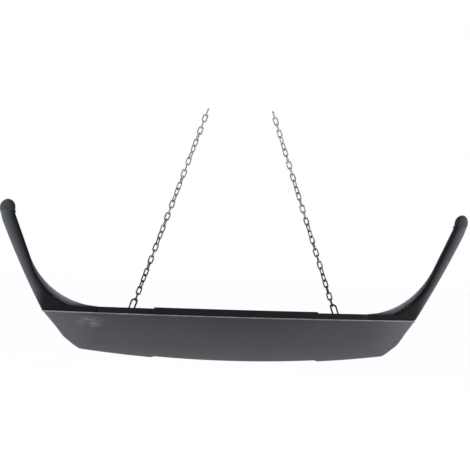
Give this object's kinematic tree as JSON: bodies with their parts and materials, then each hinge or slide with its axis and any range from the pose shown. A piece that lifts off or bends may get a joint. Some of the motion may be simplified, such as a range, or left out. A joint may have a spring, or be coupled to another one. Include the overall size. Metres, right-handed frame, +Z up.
{
  "type": "chain-hung swing body",
  "caption": "Wide wrap-around moulded body with upswept horns, hung on steel chains by snap hooks; it swings, sways and tilts.",
  "frame": {"origin": "halfway between the two points where the top links bear on the outside hooks", "axes": "+Z up, +X along the body width to the right horn, -Y towards the grey front face"},
  "size_m": [1.357, 0.1994, 0.7221],
  "materials": {
    "grey_moulding": "satin",
    "black_moulding": "satin",
    "liner_moulding": "satin",
    "cover_moulding": "matte",
    "cap_rubber": "matte",
    "beam_steel": "satin",
    "fastener_steel": "satin",
    "chain_steel": "satin",
    "hook_steel": "satin",
    "gate_steel": "satin"
  },
  "bodies": {
    "hang_links": {"left_top_link": "chain_steel", "right_top_link": "chain_steel"},
    "left_second_link": {"left_second_link": "chain_steel"},
    "left_chain": {"left_chain": "chain_steel", "left_last_link": "chain_steel"},
    "left_hook": {"left_hook": "hook_steel", "left_hook_rivet": "gate_steel"},
    "left_gate": {"left_hook_gate": "gate_steel"},
    "right_second_link": {"right_second_link": "chain_steel"},
    "right_chain": {"right_chain": "chain_steel", "right_last_link": "chain_steel"},
    "right_hook": {"right_hook": "hook_steel", "right_hook_rivet": "gate_steel"},
    "right_gate": {"right_hook_gate": "gate_steel"},
    "swing_body": {"front_skin": "grey_moulding", "top_rail": "black_moulding", "rear_cover": "cover_moulding", "beam": "beam_steel", "cover_screws": "fastener_steel", "beam_screws": "fastener_steel", "liner_screws": "fastener_steel", "strap_bolts": "fastener_steel", "strap_nuts": "fastener_steel", "eye_washers": "fastener_steel", "eye_nuts": "fastener_steel", "left_horn": "black_moulding", "left_horn_liner": "liner_moulding", "left_horn_cap": "cap_rubber", "left_horn_strap": "beam_steel", "left_eye_bolt": "fastener_steel", "right_horn": "black_moulding", "right_horn_liner": "liner_moulding", "right_horn_cap": "cap_rubber", "right_horn_strap": "beam_steel", "right_eye_bolt": "fastener_steel"}
  },
  "joints": [
    {"name": "left_swing", "type": "hinge", "parent": "hang_links", "child": "left_second_link", "pos_m": [-0.09914, 0, -0.01597], "axis": [1, 0, 0], "range_deg": [-45, 45]},
    {"name": "left_sway", "type": "hinge", "parent": "left_second_link", "child": "left_chain", "pos_m": [-0.10533, 0, -0.03383], "axis": [0, 1, 0], "range_deg": [-6, 6]},
    {"name": "left_level", "type": "hinge", "parent": "left_chain", "child": "left_hook", "pos_m": [-0.28451, 0, -0.55128], "axis": [0, 1, 0], "range_deg": [-4, 4]},
    {"name": "left_gate_hinge", "type": "hinge", "parent": "left_hook", "child": "left_gate", "pos_m": [-0.30128, 0, -0.57066], "axis": [0, 1, 0], "range_deg": [0, 25], "stiffness_Nm_per_rad": 0.05, "springref_deg": -11.46},
    {"name": "right_swing", "type": "hinge", "parent": "hang_links", "child": "right_second_link", "pos_m": [0.09914, 0, -0.01597], "axis": [1, 0, 0], "range_deg": [-45, 45]},
    {"name": "right_sway", "type": "hinge", "parent": "right_second_link", "child": "right_chain", "pos_m": [0.10533, 0, -0.03383], "axis": [0, 1, 0], "range_deg": [-6, 6]},
    {"name": "right_level", "type": "hinge", "parent": "right_chain", "child": "right_hook", "pos_m": [0.28451, 0, -0.55128], "axis": [0, 1, 0], "range_deg": [-4, 4]},
    {"name": "right_gate_hinge", "type": "hinge", "parent": "right_hook", "child": "right_gate", "pos_m": [0.30128, 0, -0.57066], "axis": [0, -1, 0], "range_deg": [0, 25], "stiffness_Nm_per_rad": 0.05, "springref_deg": -11.46},
    {"name": "body_tilt", "type": "hinge", "parent": "left_hook", "child": "swing_body", "pos_m": [-0.295, 0, -0.58719], "axis": [1, 0, 0], "range_deg": [-35, 35]}
  ],
  "couplings": [
    {"joint": "right_swing", "follows": "left_swing", "ratio": 1},
    {"joint": "right_sway", "follows": "left_sway", "ratio": 1},
    {"joint": "left_level", "follows": "left_sway", "ratio": -0.37021},
    {"joint": "right_level", "follows": "left_sway", "ratio": -0.37021}
  ]
}
